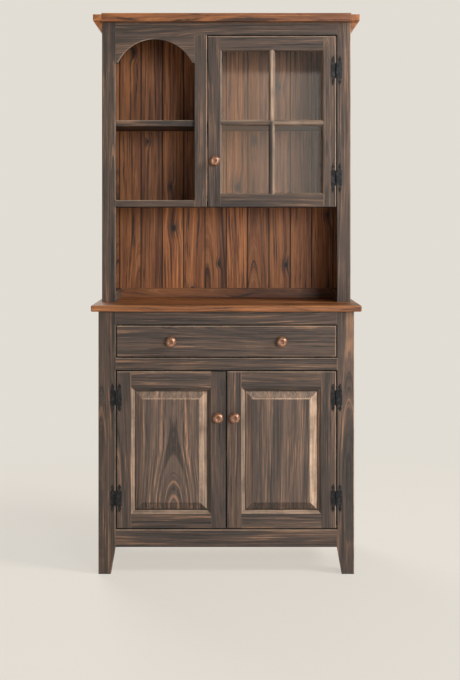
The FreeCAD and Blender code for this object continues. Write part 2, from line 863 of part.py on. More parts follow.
def make_drawer():
    """A dovetailed drawer: front, two sides, a back housed in them and a bottom in grooves."""
    outer = base_opening - drawer_gap
    inner = outer - drawer_board
    front_z = (z_drawer_opening + drawer_gap, z_top_rail - drawer_gap)
    front_back = y_base + door_thick
    side_z = (z_drawer_opening + drawer_run_gap, z_top_rail - drawer_head_room)
    front = box((-outer, outer), (y_base, front_back), front_z)
    side = joined(
        box((-outer, -inner), (front_back, y_drawer_end), side_z),
        *dovetails((-outer, -inner), front_z),
    )
    bottom_z = side_z[0] + drawer_bottom_rise
    back_y = (y_drawer_end - 2 * drawer_board, y_drawer_end - drawer_board)
    bottom = box(
        (-inner - drawer_groove, inner + drawer_groove),
        (front_back - drawer_groove, back_y[1]),
        (bottom_z, bottom_z + drawer_bottom_thick),
    )
    back_x = (-inner - dado_depth, inner + dado_depth)
    back = box(back_x, back_y, (bottom_z + drawer_bottom_thick, side_z[1]))
    side = less(side, bottom, back)
    front = less(front, side, mirrored(side), bottom)
    knob_z = (front_z[0] + front_z[1]) / 2
    save("drawer_front", front)
    save("drawer_sides", side, mirrored(side))
    save("drawer_back", back)
    save("drawer_bottom", bottom)
    save(
        "drawer_knobs",
        knob(-drawer_knob_spread, y_base, knob_z),
        knob(drawer_knob_spread, y_base, knob_z),
    )


os.makedirs("parts", exist_ok=True)
make_base()
make_hutch()
make_doors()
make_drawer()
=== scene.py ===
import math
from functools import partialmethod

import bmesh
import bpy
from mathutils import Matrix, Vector


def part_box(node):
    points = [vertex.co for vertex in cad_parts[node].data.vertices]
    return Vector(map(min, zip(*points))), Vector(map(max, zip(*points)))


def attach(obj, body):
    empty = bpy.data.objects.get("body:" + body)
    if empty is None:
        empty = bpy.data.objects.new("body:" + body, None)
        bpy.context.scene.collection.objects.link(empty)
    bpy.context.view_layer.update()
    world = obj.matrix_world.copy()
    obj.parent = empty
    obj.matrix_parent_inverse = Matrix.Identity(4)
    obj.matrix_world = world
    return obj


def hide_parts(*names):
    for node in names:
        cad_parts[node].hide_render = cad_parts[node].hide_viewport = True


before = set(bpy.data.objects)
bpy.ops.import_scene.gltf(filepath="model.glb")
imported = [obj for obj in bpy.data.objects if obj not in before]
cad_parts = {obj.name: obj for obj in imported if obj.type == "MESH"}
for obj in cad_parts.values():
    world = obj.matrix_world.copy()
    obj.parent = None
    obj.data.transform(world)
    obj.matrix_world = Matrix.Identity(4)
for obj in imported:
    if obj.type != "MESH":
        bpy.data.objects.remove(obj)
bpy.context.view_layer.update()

# A glazed cabinet: grey-stained frame and doors, brown boards, clear panes, black iron hinges
# and aged copper knobs. Metres, in the frame of the CAD model: X right, front at -Y, Z up.

X = 0
Y = 1
Z = 2

# Camera, with its focal length and the middle of its view in pixels of the photograph
IMAGE_WIDTH = 460
IMAGE_HEIGHT = 680
CAMERA_PLACE = (0.0, -4.715, 1.267)
FOCAL_PIXELS = 1264.5
SENSOR = 36.0
CENTRE_COLUMN = 226.3
HORIZON_ROW = 218.0

# Light: lamps as (name, azimuth to the right of the front, elevation, distance, size, power)
BACKGROUND = (226, 221, 212)
AMBIENT_TONE = (250, 248, 245)
AMBIENT = 0.24
LAMP_AIM = (0.0, 0.0, 0.95)
LAMP_TONE = (1.0, 0.975, 0.94)
LAMPS = (
    ("front_window", 22.0, 10.5, 7.5, 2.6, 250.0),
    ("side_window", 65.0, 30.0, 7.5, 2.1, 390.0),
    ("back_fill", 205.0, 38.0, 7.5, 3.0, 230.0),
)

# The room in front, which the panes mirror: dim, with a bright patch whose top and right side are
# given in degrees from the middle
ROOM_DIM = 0.07
PANE_GLOW = 2.15
GLOW_TONES = ((248, 206, 172), (240, 228, 214))
GLOW_HIGH = 6.56
GLOW_RIGHT = 4.15

# The floor fades into the background between two distances
FLOOR_TONE = (240, 235, 226)
FLOOR_HALF = 30.0
FLOOR_FADE = (0.9, 3.4)
FLOOR_SHOWN = 0.70

# Rounded edges of boards
EDGE_ROUND = 0.0008
EDGE_STEPS = 2
EDGE_ANGLE = 20.0
WELD = 0.00002

# Front edges: the right and upper ones pale from abrasion and painted light, the left and lower
# ones painted dark as shade. Their width, the share of it that is even, how wide and how light an
# edge painted dark as shade is, how dark a painted dark right edge is, and the least abrasion of
# rounded edges
EDGE_MARK_REACH = 0.0042
EDGE_MARK_CORE = 0.35
PAINTED_SHADE_SHARE = 0.8
PAINTED_SHADE_LEFT = 0.22
PAINTED_DARK_SHARE = 0.7
LEAST_WEAR = 0.10

# Boards that lie flush or touch, and how far a board's edge is hidden beside another board
FLUSH = 0.0001
TOUCH = 0.0005
COVER_GROW = 0.005

# Sizes in the CAD model that the looks follow
BOARD_PITCH = 0.0835
BACK_FIRST_SEAM = -6 * BOARD_PITCH
ARCH_HALF = 0.13725
ARCH_RISE = 0.0885
FOOT_HEIGHT = 0.096
FOOT_TAPER = 0.017
OUTER_SIDE = 0.45
PANEL_EDGE = 0.036
PANEL_HELD = 0.0095
# Width of the painted shade in a panel's corner
PANEL_CORNER_SHADE_WIDE = 0.0045
MUNTIN_FACE = 0.005
MUNTIN_HALF = 0.011

# Knots: one place in each length of a stave, how unevenly it is bounded, its smallest and largest
# size, and the distances over which it, its halo and the swerve of the rings fade
KNOT_PITCH = 0.31
KNOT_WOBBLE = 0.008
KNOT_SIZES = (0.5, 1.3)
KNOT_HEART = (0.0095, 0.004)
KNOT_HALO = (0.032, 0.006)
KNOT_SWERVE = (0.042, 0.0, 0.0, 0.010)

# Each board's seed, from its number
FIRST_SEED = 0.37
SEED_STEP = 1.618
SEEDS = 11.0


def tone(steps, share=1.0):
    """A share of a colour given in the 0 to 255 steps of a screen, as linear values."""
    linear = []
    for step in steps:
        value = share * step / 255
        linear.append(value / 12.92 if value <= 0.04045 else ((value + 0.055) / 1.055) ** 2.4)
    return (*linear, 1.0)


def middle(box, axis):
    return (box[0][axis] + box[1][axis]) / 2


# Shader nodes


class Graph:
    """A node tree with short calls for the nodes that these materials use."""

    def __init__(self, tree):
        self.tree = tree

    def add(self, kind, inputs=None, **settings):
        """A new node; each input takes a link or a plain value."""
        node = self.tree.nodes.new(kind)
        for key, value in settings.items():
            setattr(node, key, value)
        for key, value in (inputs or {}).items():
            if isinstance(value, bpy.types.NodeSocket):
                self.tree.links.new(value, node.inputs[key])
            else:
                node.inputs[key].default_value = value
        return node

    def show(self, shader, kind="ShaderNodeOutputMaterial"):
        self.add(kind, {"Surface": shader.outputs[0]})

    def math(self, operation, *values):
        return self.add("ShaderNodeMath", dict(enumerate(values)), operation=operation).outputs[0]

    def chain(self, operation, *values):
        """The operation on the first two values, then on what it gives and the next one."""
        result = values[0]
        for value in values[1:]:
            result = self.math(operation, result, value)
        return result

    unsigned = partialmethod(math, "ABSOLUTE")
    times = partialmethod(chain, "MULTIPLY")
    over = partialmethod(chain, "DIVIDE")
    plus = partialmethod(chain, "ADD")
    minus = partialmethod(chain, "SUBTRACT")
    least = partialmethod(chain, "MINIMUM")
    most = partialmethod(chain, "MAXIMUM")

    def length(self, first, second):
        """The length of a vector with these two parts."""
        return self.math("SQRT", self.plus(self.times(first, first), self.times(second, second)))

    def vector(self, x, y, z):
        return self.add("ShaderNodeCombineXYZ", {"X": x, "Y": y, "Z": z}).outputs[0]

    def parts(self, vector):
        node = self.add("ShaderNodeSeparateXYZ", {"Vector": vector})
        return node.outputs[0], node.outputs[1], node.outputs[2]

    def vector_math(self, operation, first, second):
        node = self.add("ShaderNodeVectorMath", {0: first, 1: second}, operation=operation)
        return node.outputs[0]

    def place(self, kind="Object"):
        """Where a point is, or with "Normal" which way it faces."""
        return self.add("ShaderNodeTexCoord").outputs[kind]

    def rays(self):
        return self.add("ShaderNodeLightPath").outputs

    def noise(self, vector, scale, detail=2.0, roughness=0.5, output="Fac"):
        """Smooth noise: one value, or with "Color" three."""
        node = self.add(
            "ShaderNodeTexNoise",
            {"Vector": vector, "Scale": scale, "Detail": detail, "Roughness": roughness},
        )
        return node.outputs[output]

    def white(self, vector):
        """Three values from 0 to 1 that belong to a vector."""
        node = self.add("ShaderNodeTexWhiteNoise", {"Vector": vector}, noise_dimensions="3D")
        return self.parts(node.outputs["Color"])

    def ramp(self, value, low, high, start=0.0, end=1.0):
        """Smooth change from start to end as value goes from low to high."""
        node = self.add(
            "ShaderNodeMapRange",
            {"Value": value, "From Min": low, "From Max": high, "To Min": start, "To Max": end},
            interpolation_type="SMOOTHSTEP",
        )
        return node.outputs[0]

    def mix(self, factor, first, second, blend="MIX"):
        inputs = {0: factor, 6: first, 7: second}
        return self.add("ShaderNodeMix", inputs, data_type="RGBA", blend_type=blend).outputs[2]

    def blend(self, factor, first, second):
        """The first shader where the factor is 0, and the second where it is 1."""
        inputs = {0: factor, 1: first.outputs[0], 2: second.outputs[0]}
        return self.add("ShaderNodeMixShader", inputs)

    def bump(self, height, strength, deep):
        inputs = {"Height": height, "Strength": strength, "Distance": deep}
        return self.add("ShaderNodeBump", inputs).outputs[0]


def new_material(name):
    material = bpy.data.materials.new(name)
    material.use_nodes = True
    material.node_tree.nodes.clear()
    return material, Graph(material.node_tree)


def new_group(name, vectors, numbers, results):
    """The graph of a new node group, and the sockets that it is given."""
    tree = bpy.data.node_groups.new(name, "ShaderNodeTree")
    for sockets, way, kind in (
        (vectors, "INPUT", "NodeSocketVector"),
        (numbers, "INPUT", "NodeSocketFloat"),
        (results, "OUTPUT", "NodeSocketFloat"),
    ):
        for socket in sockets:
            tree.interface.new_socket(socket, in_out=way, socket_type=kind)
    graph = Graph(tree)
    return graph, graph.add("NodeGroupInput").outputs


# The figure of the wood


def staves(graph, across, width, seed):
    """A board's width cut into strips, each from its own log: the number of the strip, the place
    across it from its middle, the distance to its nearer edge, and six values of its own."""
    number = graph.math("FLOOR", graph.over(across, width))
    local = graph.minus(across, graph.times(graph.plus(number, 0.5), width))
    from_seam = graph.minus(graph.times(width, 0.5), graph.unsigned(local))
    own = [*graph.white(graph.vector(number, seed, 0.5)), *graph.white(graph.vector(number, seed, 7.5))]
    return number, local, from_seam, own


def knots(graph, slid, local, number, given):
    """At most one knot in each length of a stave: the knot, the dark halo round it, and how far
    the growth rings swerve from it."""
    cell = graph.math("FLOOR", graph.over(slid, KNOT_PITCH))
    chance, off_along, off_across = graph.white(graph.vector(cell, number, given["Seed"]))
    centre = graph.times(graph.plus(cell, graph.ramp(off_along, 0, 1, 0.2, 0.8)), KNOT_PITCH)
    rise = graph.times(graph.minus(slid, centre), 0.6)
    offset = graph.times(graph.minus(off_across, 0.5), graph.times(given["Stave"], 0.6))
    aside = graph.minus(local, offset)
    wobble = graph.noise(graph.vector(slid, local, given["Seed"]), 55.0)
    reach = graph.length(rise, aside)
    reach = graph.plus(reach, graph.times(graph.minus(wobble, 0.5), KNOT_WOBBLE))
    reach = graph.over(reach, graph.ramp(off_along, 0.0, 1.0, *KNOT_SIZES))
    present = graph.math("LESS_THAN", chance, given["Knots"])
    knot = graph.times(graph.ramp(reach, *KNOT_HEART), present)
    halo = graph.times(graph.ramp(reach, *KNOT_HALO), present)
    swerve = graph.times(graph.ramp(reach, *KNOT_SWERVE), present)
    return knot, halo, swerve


def ring_radius(graph, along, slid, local, folded, own, given):
    """How far a point is from the pith of its log. The pith wanders behind the face, and where
    the radius changes along the board, the growth rings show as arches."""
    _, two, three, four, _, _ = own
    bending = graph.vector(graph.times(slid, 1.9), graph.times(local, 9.0), graph.times(folded, 9.0))
    bend_across, bend_depth, _ = graph.parts(graph.noise(bending, 1.0, output="Color"))
    sway = graph.times(graph.minus(bend_across, 0.5), given["Wander"])
    pith = graph.times(graph.minus(graph.times(two, 2.0), 1.0), given["Pith"])
    aside = graph.plus(local, sway, pith)
    deep = graph.times(graph.ramp(three, 0.0, 1.0, 0.5, 1.5), given["Behind"])
    behind = graph.plus(deep, folded, graph.times(graph.minus(bend_depth, 0.5), given["Wander"]))
    half = graph.times(given["Spread"], 0.5)
    heart = graph.plus(given["Heart"], graph.times(graph.minus(four, 0.5), half))
    low = graph.minus(heart, half)
    high = graph.plus(heart, half)
    arch = graph.times(graph.ramp(along, low, high, 0.0, given["Spread"]), 2.0, given["Arch"])
    square = graph.plus(graph.times(aside, aside), graph.times(behind, behind), arch)
    return graph.math("SQRT", graph.unsigned(square))


FIGURE_LOOKS = (
    "Seed", "Stave", "Pith", "Behind", "Arch", "Heart", "Spread", "Wander", "Knots", "Streaks",
)


def grain_group():
    """The figure of sawn wood in a board whose length is along X, width along Y and depth along Z.

    Place is taken from the middle of the length, the first edge and the front face. The group
    gives streaks that follow the growth rings, a broad change of tone, fine fibres and pores,
    knots with a dark halo, a tone of its own for each stave, and how far its edge is."""
    graph, given = new_group(
        "wood figure",
        ("Place",),
        FIGURE_LOOKS,
        ("Lines", "Broad", "Fibre", "Pores", "Knot", "Halo", "Stave tone", "From seam"),
    )
    times = graph.times
    plus = graph.plus
    seed = given["Seed"]
    along, across, depth = graph.parts(given["Place"])
    number, local, from_seam, own = staves(graph, across, given["Stave"], seed)
    slid = plus(along, plus(times(plus(own[0], number), 1.7), seed))
    folded = graph.math("PINGPONG", depth, 0.05)
    knot, halo, swerve = knots(graph, slid, local, number, given)
    radius = plus(ring_radius(graph, along, slid, local, folded, own, given), swerve)

    narrow = graph.vector(
        times(slid, 3.6), times(radius, given["Streaks"]), times(plus(seed, own[4]), 5.0)
    )
    wide = graph.vector(times(slid, 1.3), times(radius, 40.0), times(plus(seed, own[5]), 5.0))
    thin = graph.vector(times(slid, 5.0), times(local, 270.0), times(folded, 270.0))
    finest = graph.vector(times(slid, 26.0), times(local, 1100.0), times(folded, 1100.0))
    results = {
        "Lines": graph.noise(narrow, 1.0, 4.0, 0.68),
        "Broad": graph.noise(wide, 1.0),
        "Fibre": graph.noise(thin, 1.0, 4.0, 0.7),
        "Pores": graph.noise(finest, 1.0),
        "Knot": knot,
        "Halo": halo,
        "Stave tone": own[0],
        "From seam": from_seam,
    }
    graph.add("NodeGroupOutput", results)
    return graph.tree


# Pale edges from abrasion and painted light, and painted shade


def box_group(name, numbers, results):
    """A new node group for a place and a box, with the way from the box's low corner to the place
    and the way from there to its high corner."""
    graph, given = new_group(name, ("Place", "Low", "High"), numbers, results)
    from_low = graph.vector_math("SUBTRACT", given["Place"], given["Low"])
    to_high = graph.vector_math("SUBTRACT", given["High"], given["Place"])
    return graph, given, from_low, to_high


def edge_group():
    """How near a point is to a board's front edges. The first result is 1 on the right and upper ones,
    which are pale from abrasion and painted lighter as if lit; the second is 1 on the left and lower
    ones, which are painted dark as shade."""
    graph, given, from_low, to_high = box_group("edge nearness", ("Reach",), ("WornAndLit", "PaintedShade"))
    from_left, from_front, from_foot = graph.parts(from_low)
    from_right, _, from_top = graph.parts(to_high)
    results = {}
    for name, first, second, reach in (
        ("WornAndLit", from_right, from_top, 1.0),
        ("PaintedShade", from_left, from_foot, PAINTED_SHADE_SHARE),
    ):
        side = graph.most(graph.least(first, second), from_front)
        results[name] = graph.ramp(graph.over(side, given["Reach"]), reach, EDGE_MARK_CORE * reach)
    graph.add("NodeGroupOutput", results)
    return graph.tree


def cover_group():
    """1 inside a box and 0 outside it."""
    graph, _, from_low, to_high = box_group("covered", (), ("Inside",))
    nearest = graph.least(*graph.parts(graph.vector_math("MINIMUM", from_low, to_high)))
    graph.add("NodeGroupOutput", {"Inside": graph.math("GREATER_THAN", nearest, 0.0)})
    return graph.tree


FIGURE = grain_group()
EDGES = edge_group()
COVERED = cover_group()


def outside(graph, place, boxes):
    """1 where a point is in none of the boxes, and 0 in them."""
    free = 1.0
    for low, high in boxes:
        inputs = {"Place": place, "Low": low, "High": high}
        group = graph.add("ShaderNodeGroup", inputs, node_tree=COVERED)
        free = graph.times(free, graph.minus(1.0, group.outputs[0]))
    return free


def front_edges(graph, place, edges):
    """The edges of a board that are pale from abrasion and painted light, and those painted dark as
    shade; edges holds boxes, each with the boxes that hide its edge."""
    worn_lit_edge = 0.0
    painted_shade = 0.0
    for (low, high), covers in edges:
        inputs = {"Place": place, "Low": low, "High": high, "Reach": EDGE_MARK_REACH}
        group = graph.add("ShaderNodeGroup", inputs, node_tree=EDGES)
        bare = outside(graph, place, covers)
        worn_lit_edge = graph.most(worn_lit_edge, graph.times(group.outputs[0], bare))
        painted_shade = graph.most(painted_shade, graph.times(group.outputs[1], bare))
    return worn_lit_edge, painted_shade


def painted_lit_slopes(graph):
    """Painted light: where a face turns a little up or to the right from the front, towards the light,
    1 on a clear slope; such faces are painted paler.
    """
    right, back, up = graph.parts(graph.place("Normal"))
    turned = graph.most(graph.ramp(right, 0.10, 0.40), graph.ramp(up, 0.20, 0.46))
    return graph.times(turned, graph.ramp(back, -0.15, -0.45))


def worn_lit_arch(graph, place, box):
    """The pale edge along the left half of the arch, which turns to the right: pale from abrasion and
    painted light.
    """
    x, y, z = graph.parts(place)
    radius = (ARCH_HALF ** 2 + ARCH_RISE ** 2) / (2 * ARCH_RISE)
    aside = graph.minus(x, middle(box, X))
    above = graph.minus(z, box[0][Z] + ARCH_RISE - radius)
    away = graph.minus(graph.length(aside, above), radius)
    away = graph.most(away, graph.minus(y, box[0][Y]))
    half = graph.ramp(aside, 0.25 * ARCH_HALF, -0.45 * ARCH_HALF)
    return graph.times(graph.ramp(away, EDGE_MARK_REACH, EDGE_MARK_CORE * EDGE_MARK_REACH), half)


def slanted_foot(graph, place):
    """Places below the rail moved aside, so that the foot's slanting edge is upright."""
    x, y, z = graph.parts(place)
    below = graph.most(graph.minus(FOOT_HEIGHT, z), 0.0)
    return graph.vector(graph.plus(x, graph.times(below, FOOT_TAPER / FOOT_HEIGHT)), y, z)


def wear(graph, place, board, all_worn):
    """How pale a point is, from abrasion and from painted light on edges and faces that turn up or to
    the right, and how far it is on an edge painted dark as shade.
    """
    lit_slopes = graph.times(painted_lit_slopes(graph), board["slope_wear"])
    seat = slanted_foot(graph, place) if board.get("foot") else place
    near, painted_shade = front_edges(graph, seat, board["edges"])
    # A painted dark edge: its pale right edge is painted dark as shade instead.
    if board.get("dull_edge"):
        painted_shade = graph.most(painted_shade, graph.times(near, PAINTED_DARK_SHARE))
        near = 0.0
    if board.get("arched"):
        near = worn_lit_arch(graph, place, board["box"])
    if all_worn:
        wear_and_painted_light = graph.most(lit_slopes, LEAST_WEAR)
    else:
        wear_and_painted_light = graph.most(graph.times(near, board["edge_wear_and_light"]), lit_slopes)
    rub = graph.noise(place, 14.0, 4.0, 0.65)
    return graph.times(wear_and_painted_light, graph.ramp(rub, 0.34, 0.60, 0.5, 1.0)), painted_shade


# Stains. The looks of each: its colours, how finely the rings streak, how far they wander, the
# share of places with a knot, the least and the greatest roughness, the darkest and the lightest
# stave, how strongly the figure shows, and whether the stain hides the wood
GREY_STAIN = {
    "dark": (63, 54, 50), "mid": (95, 77, 66), "light": (166, 124, 94), "wear_and_painted_light": (188, 160, 136),
    "streaks": 165.0, "wander": 0.010, "knots": 0.04, "rough": (0.50, 0.66),
    "staves": (0.88, 1.10), "strength": 0.62, "hiding": True,
}
BROWN_STAIN = {
    "dark": (46, 23, 12), "mid": (122, 68, 35), "light": (178, 112, 62), "wear_and_painted_light": (212, 146, 92),
    "streaks": 150.0, "wander": 0.012, "knots": 0.45, "rough": (0.40, 0.58),
    "staves": (0.80, 1.18), "strength": 1.0, "hiding": False,
}
BARE_WOOD = {
    "dark": (150, 112, 76), "mid": (196, 158, 114), "light": (222, 190, 148), "wear_and_painted_light": (226, 198, 160),
    "streaks": 130.0, "wander": 0.014, "knots": 0.2, "rough": (0.5, 0.66),
    "staves": (0.88, 1.10), "strength": 1.0, "hiding": False,
}


def see_through(graph, grain, board):
    """How much of the wood shows through a grey stain, which differs from patch to patch."""
    along, across, deep = graph.parts(grain)
    stretched = graph.vector(graph.times(along, 0.3), across, graph.plus(deep, board["seed"]))
    patch = graph.noise(stretched, 16.0, 3.0, 0.6)
    return graph.ramp(patch, 0.38, 0.62, 0.25 * board["strength"], 1.35 * board["strength"])


def grey_colour(graph, grain, figure, board, wear_and_painted_light):
    """Grey stain: it lies thick in the soft wood and thin on the hard lines of the rings."""
    dark = board["dark"]
    body = graph.mix(graph.ramp(figure["Broad"], 0.34, 0.66), tone(dark), tone(board["mid"]))
    deep = graph.times(graph.ramp(figure["Lines"], 0.46, 0.36), 0.85)
    body = graph.mix(deep, body, tone(dark, 0.68))
    lines = graph.ramp(figure["Lines"], 0.52, 0.63)
    showing = graph.times(lines, graph.ramp(figure["Broad"], 0.34, 0.60, 0.40, 1.0))
    flecks = graph.ramp(figure["Fibre"], 0.57, 0.70, 0.0, 0.5)
    showing = graph.times(graph.most(showing, flecks), see_through(graph, grain, board))
    body = graph.mix(showing, body, tone(board["light"]))
    # Paler from abrasion and from painted light on edges and faces that turn up or to the right.
    pale = graph.times(wear_and_painted_light, graph.ramp(figure["Fibre"], 0.25, 0.55, 0.7, 1.0))
    body = graph.mix(pale, body, tone(board["wear_and_painted_light"]))
    return graph.mix(figure["Knot"], body, tone(dark, 0.6))


def brown_colour(graph, figure, board, wear_and_painted_light):
    """Brown stain: the growth rings show as dark lines, and it gathers dark round the knots."""
    dark = board["dark"]
    strength = board["strength"]
    broad = graph.ramp(figure["Broad"], 0.32, 0.68)
    body = graph.mix(broad, tone(board["mid"]), tone(board["light"]))
    pale = graph.times(graph.ramp(figure["Lines"], 0.47, 0.36), 0.5 * strength)
    body = graph.mix(pale, body, tone(board["wear_and_painted_light"]))
    lines = graph.times(graph.ramp(figure["Lines"], 0.52, 0.64), 0.9 * strength)
    body = graph.mix(lines, body, tone(dark))
    halo = graph.times(figure["Halo"], graph.ramp(figure["Lines"], 0.3, 0.6, 0.25, 0.85))
    body = graph.mix(halo, body, tone(dark))
    # Paler from abrasion and from painted light on edges and faces that turn up or to the right.
    body = graph.mix(graph.times(wear_and_painted_light, 0.6), body, tone(board["wear_and_painted_light"]))
    return graph.mix(figure["Knot"], body, tone(dark, 0.45))


def glaze(graph, place, box, painted_slope_light):
    """Painted light and shade on a panel: painted shade in the corner between the panel and its frame
    and on the lower slope, and painted light on the slope at each side."""
    x, _, z = graph.parts(place)
    nearest = graph.least(
        graph.minus(x, box[0][X]), graph.minus(box[1][X], x),
        graph.minus(z, box[0][Z]), graph.minus(box[1][Z], z),
    )
    right, _, up = graph.parts(graph.place("Normal"))
    return graph.times(
        graph.ramp(nearest, PANEL_HELD, PANEL_HELD + PANEL_CORNER_SHADE_WIDE, 0.28, 1.0),
        graph.ramp(right, -0.08, -0.2, 1.0, 1.24 * painted_slope_light),
        graph.ramp(right, 0.08, 0.2, 1.0, painted_slope_light),
        graph.ramp(up, -0.05, -0.2, 1.0, 0.66),
    )


def painted_gap_shade(graph, place, box):
    """Painted shade: the sides of a front board that face another board are darkened, as if in the
    shade of the gap.
    """
    x, y, _ = graph.parts(place)
    _, back, _ = graph.parts(graph.place("Normal"))
    sideways = graph.ramp(graph.unsigned(back), 0.5, 0.2)
    deep = graph.ramp(y, box[0][Y] + 0.0012, box[0][Y] + 0.0025)
    inner = graph.math("LESS_THAN", graph.unsigned(x), OUTER_SIDE)
    return graph.ramp(graph.times(sideways, deep, inner), 0.0, 1.0, 1.0, 0.2)


def shade_of(graph, place, figure, board, painted_shade):
    """How much light a board's own tone, its fibres and pores and its dark seams leave, times painted
    shade in the gaps and on the left and lower front edges, and painted light and shade on a panel.
    """
    darkest, lightest = [step * board["tint"] for step in board["staves"]]
    shade = graph.times(
        graph.ramp(figure["Stave tone"], 0.0, 1.0, darkest, lightest),
        graph.ramp(figure["Fibre"], 0.34, 0.66, 0.70, 1.22),
        graph.ramp(figure["Pores"], 0.3, 0.6, 0.90, 1.03),
    )
    if board["name"] in FRONT:
        # Painted shade: the left and lower front edges are darkened.
        edge = graph.ramp(painted_shade, 0.0, 1.0, 1.0, PAINTED_SHADE_LEFT)
        shade = graph.times(shade, painted_gap_shade(graph, place, board["box"]), edge)
    if board.get("glazed"):
        shade = graph.times(shade, glaze(graph, place, board["box"], board["painted_slope_light"]))
    if board.get("seams"):
        shade = graph.times(shade, graph.ramp(figure["From seam"], 0.0010, 0.0040, 0.12, 1.0))
    return shade


def grain_place(graph, place, board):
    """Places measured along, across and into a board, from the middle of its length, the first
    edge of its first stave and its front face."""
    box = board["box"]
    length, width, depth = board["axes"]
    if "origin" in board:
        first_edge = board["origin"]
    elif board["stave"] == WHOLE_BOARD:
        first_edge = middle(box, width) - WHOLE_BOARD / 2
    else:
        first_edge = box[0][width]
    starts = {length: middle(box, length), width: first_edge, depth: box[0][depth]}
    moved = graph.vector_math("SUBTRACT", place, [starts[axis] for axis in (X, Y, Z)])
    parts = graph.parts(moved)
    grain = graph.vector(*[parts[axis] for axis in board["axes"]])
    if board["name"] != "glass_door_muntins":
        return grain
    x, _, z = graph.parts(place)
    above = graph.math("LESS_THAN", graph.unsigned(graph.minus(z, middle(box, Z))), MUNTIN_HALF)
    beside = graph.math("GREATER_THAN", graph.unsigned(graph.minus(x, middle(box, X))), MUNTIN_HALF)
    crosspiece = graph.vector(*[parts[axis] for axis in ACROSS])
    return graph.mix(graph.times(above, beside), grain, crosspiece)


def wood(name, board, all_worn):
    """A wood material for one board, cut from its own part of the log. With all_worn all of it is a
    little pale from abrasion, as on rounded edges."""
    material, graph = new_material(name)
    place = graph.place()
    grain = grain_place(graph, place, board)
    looks = {look: board[look.lower()] for look in FIGURE_LOOKS}
    figure = graph.add("ShaderNodeGroup", {"Place": grain, **looks}, node_tree=FIGURE).outputs
    wear_and_painted_light, painted_shade = wear(graph, place, board, all_worn)
    if board["hiding"]:
        colour = grey_colour(graph, grain, figure, board, wear_and_painted_light)
    else:
        colour = brown_colour(graph, figure, board, wear_and_painted_light)
    shade = shade_of(graph, place, figure, board, painted_shade)
    height = graph.plus(
        graph.times(figure["Lines"], 0.8),
        graph.times(figure["Fibre"], 0.6),
        graph.times(figure["Pores"], 0.4),
    )
    height = graph.minus(height, graph.times(figure["Knot"], 0.5))
    smooth, rough = board["rough"]
    inputs = {
        "Base Color": graph.mix(1.0, colour, graph.vector(shade, shade, shade), "MULTIPLY"),
        "Roughness": graph.ramp(figure["Fibre"], 0.3, 0.7, rough, smooth),
        "Normal": graph.bump(height, 0.5, 0.0005),
        "Specular IOR Level": 0.45,
    }
    graph.show(graph.add("ShaderNodeBsdfPrincipled", inputs))
    return material


def dress(node, *materials):
    node.data.materials.clear()
    for material in materials:
        node.data.materials.append(material)


def rounded_edges(node):
    """Rounds a board's edges a little, and gives the new faces the second material slot."""
    weld = node.modifiers.new("weld", "WELD")
    weld.merge_threshold = WELD
    bevel = node.modifiers.new("rounded edges", "BEVEL")
    bevel.width = EDGE_ROUND
    bevel.segments = EDGE_STEPS
    bevel.limit_method = "ANGLE"
    bevel.angle_limit = math.radians(EDGE_ANGLE)
    bevel.use_clamp_overlap = False
    bevel.material = 1
    bevel.miter_outer = "MITER_ARC"
    normals = node.modifiers.new("flat faces", "WEIGHTED_NORMAL")
    normals.mode = "FACE_AREA"
    normals.weight = 50


# The boards: node, stain, direction of the grain and looks of its own
BOARDS = []


def boards(stain, axes, *names, **looks):
    for name in names:
        BOARDS.append((name, stain, axes, looks))


# The axes along a board, across it and into it
UP = (Z, X, Y)
UP_SIDE = (Z, Y, X)
ACROSS = (X, Z, Y)
ACROSS_FLAT = (X, Y, Z)
DEEP_SIDE = (Y, Z, X)

# The boards of the front, with how light each is beside the others: partly its own tone and partly
# painted light and shade, as on the darker left base stile
FRONT_UP = {
    "base_stile_left": 0.77, "base_stile_right": 0.99, "hutch_stile_left": 0.88,
    "hutch_stile_right": 0.89, "hutch_mid_stile": 0.96, "glass_door_lock_stile": 0.92,
    "glass_door_hinge_stile": 0.92, "left_door_hinge_stile": 1.0, "left_door_meeting_stile": 1.0,
    "right_door_hinge_stile": 1.0, "right_door_meeting_stile": 1.0,
}
FRONT_ACROSS = {
    "base_bottom_rail": 1.0, "base_mid_rail": 0.88, "base_top_rail": 0.83, "hutch_top_rail": 0.96,
    "arch_header": 0.82, "niche_rail": 0.82, "drawer_front": 0.95, "left_door_top_rail": 0.94,
    "left_door_bottom_rail": 0.83, "right_door_top_rail": 1.0, "right_door_bottom_rail": 0.98,
    "glass_door_top_rail": 0.95, "glass_door_bottom_rail": 0.95,
}
FRONT = {**FRONT_UP, **FRONT_ACROSS}
OWN_UP = ("base_stile_left", "left_door_meeting_stile", "hutch_stile_left")
PLAIN_UP = [name for name in FRONT_UP if name not in OWN_UP and "glass" not in name]
PLAIN_ACROSS = [name for name in FRONT_ACROSS if name != "arch_header" and "glass" not in name]

# Looks of any board: the width of its staves, how far aside and how far behind the face the pith
# is, the length over which the rings arch, how pale faces that turn up or to the right are painted,
# as painted light, and how pale front edges are, from abrasion and painted light
WHOLE_BOARD = 1.0
ANY_BOARD = {
    "stave": WHOLE_BOARD, "pith": 0.07, "behind": 0.012, "spread": 0.5, "slope_wear": 0.6,
    "edge_wear_and_light": 0.75,
}
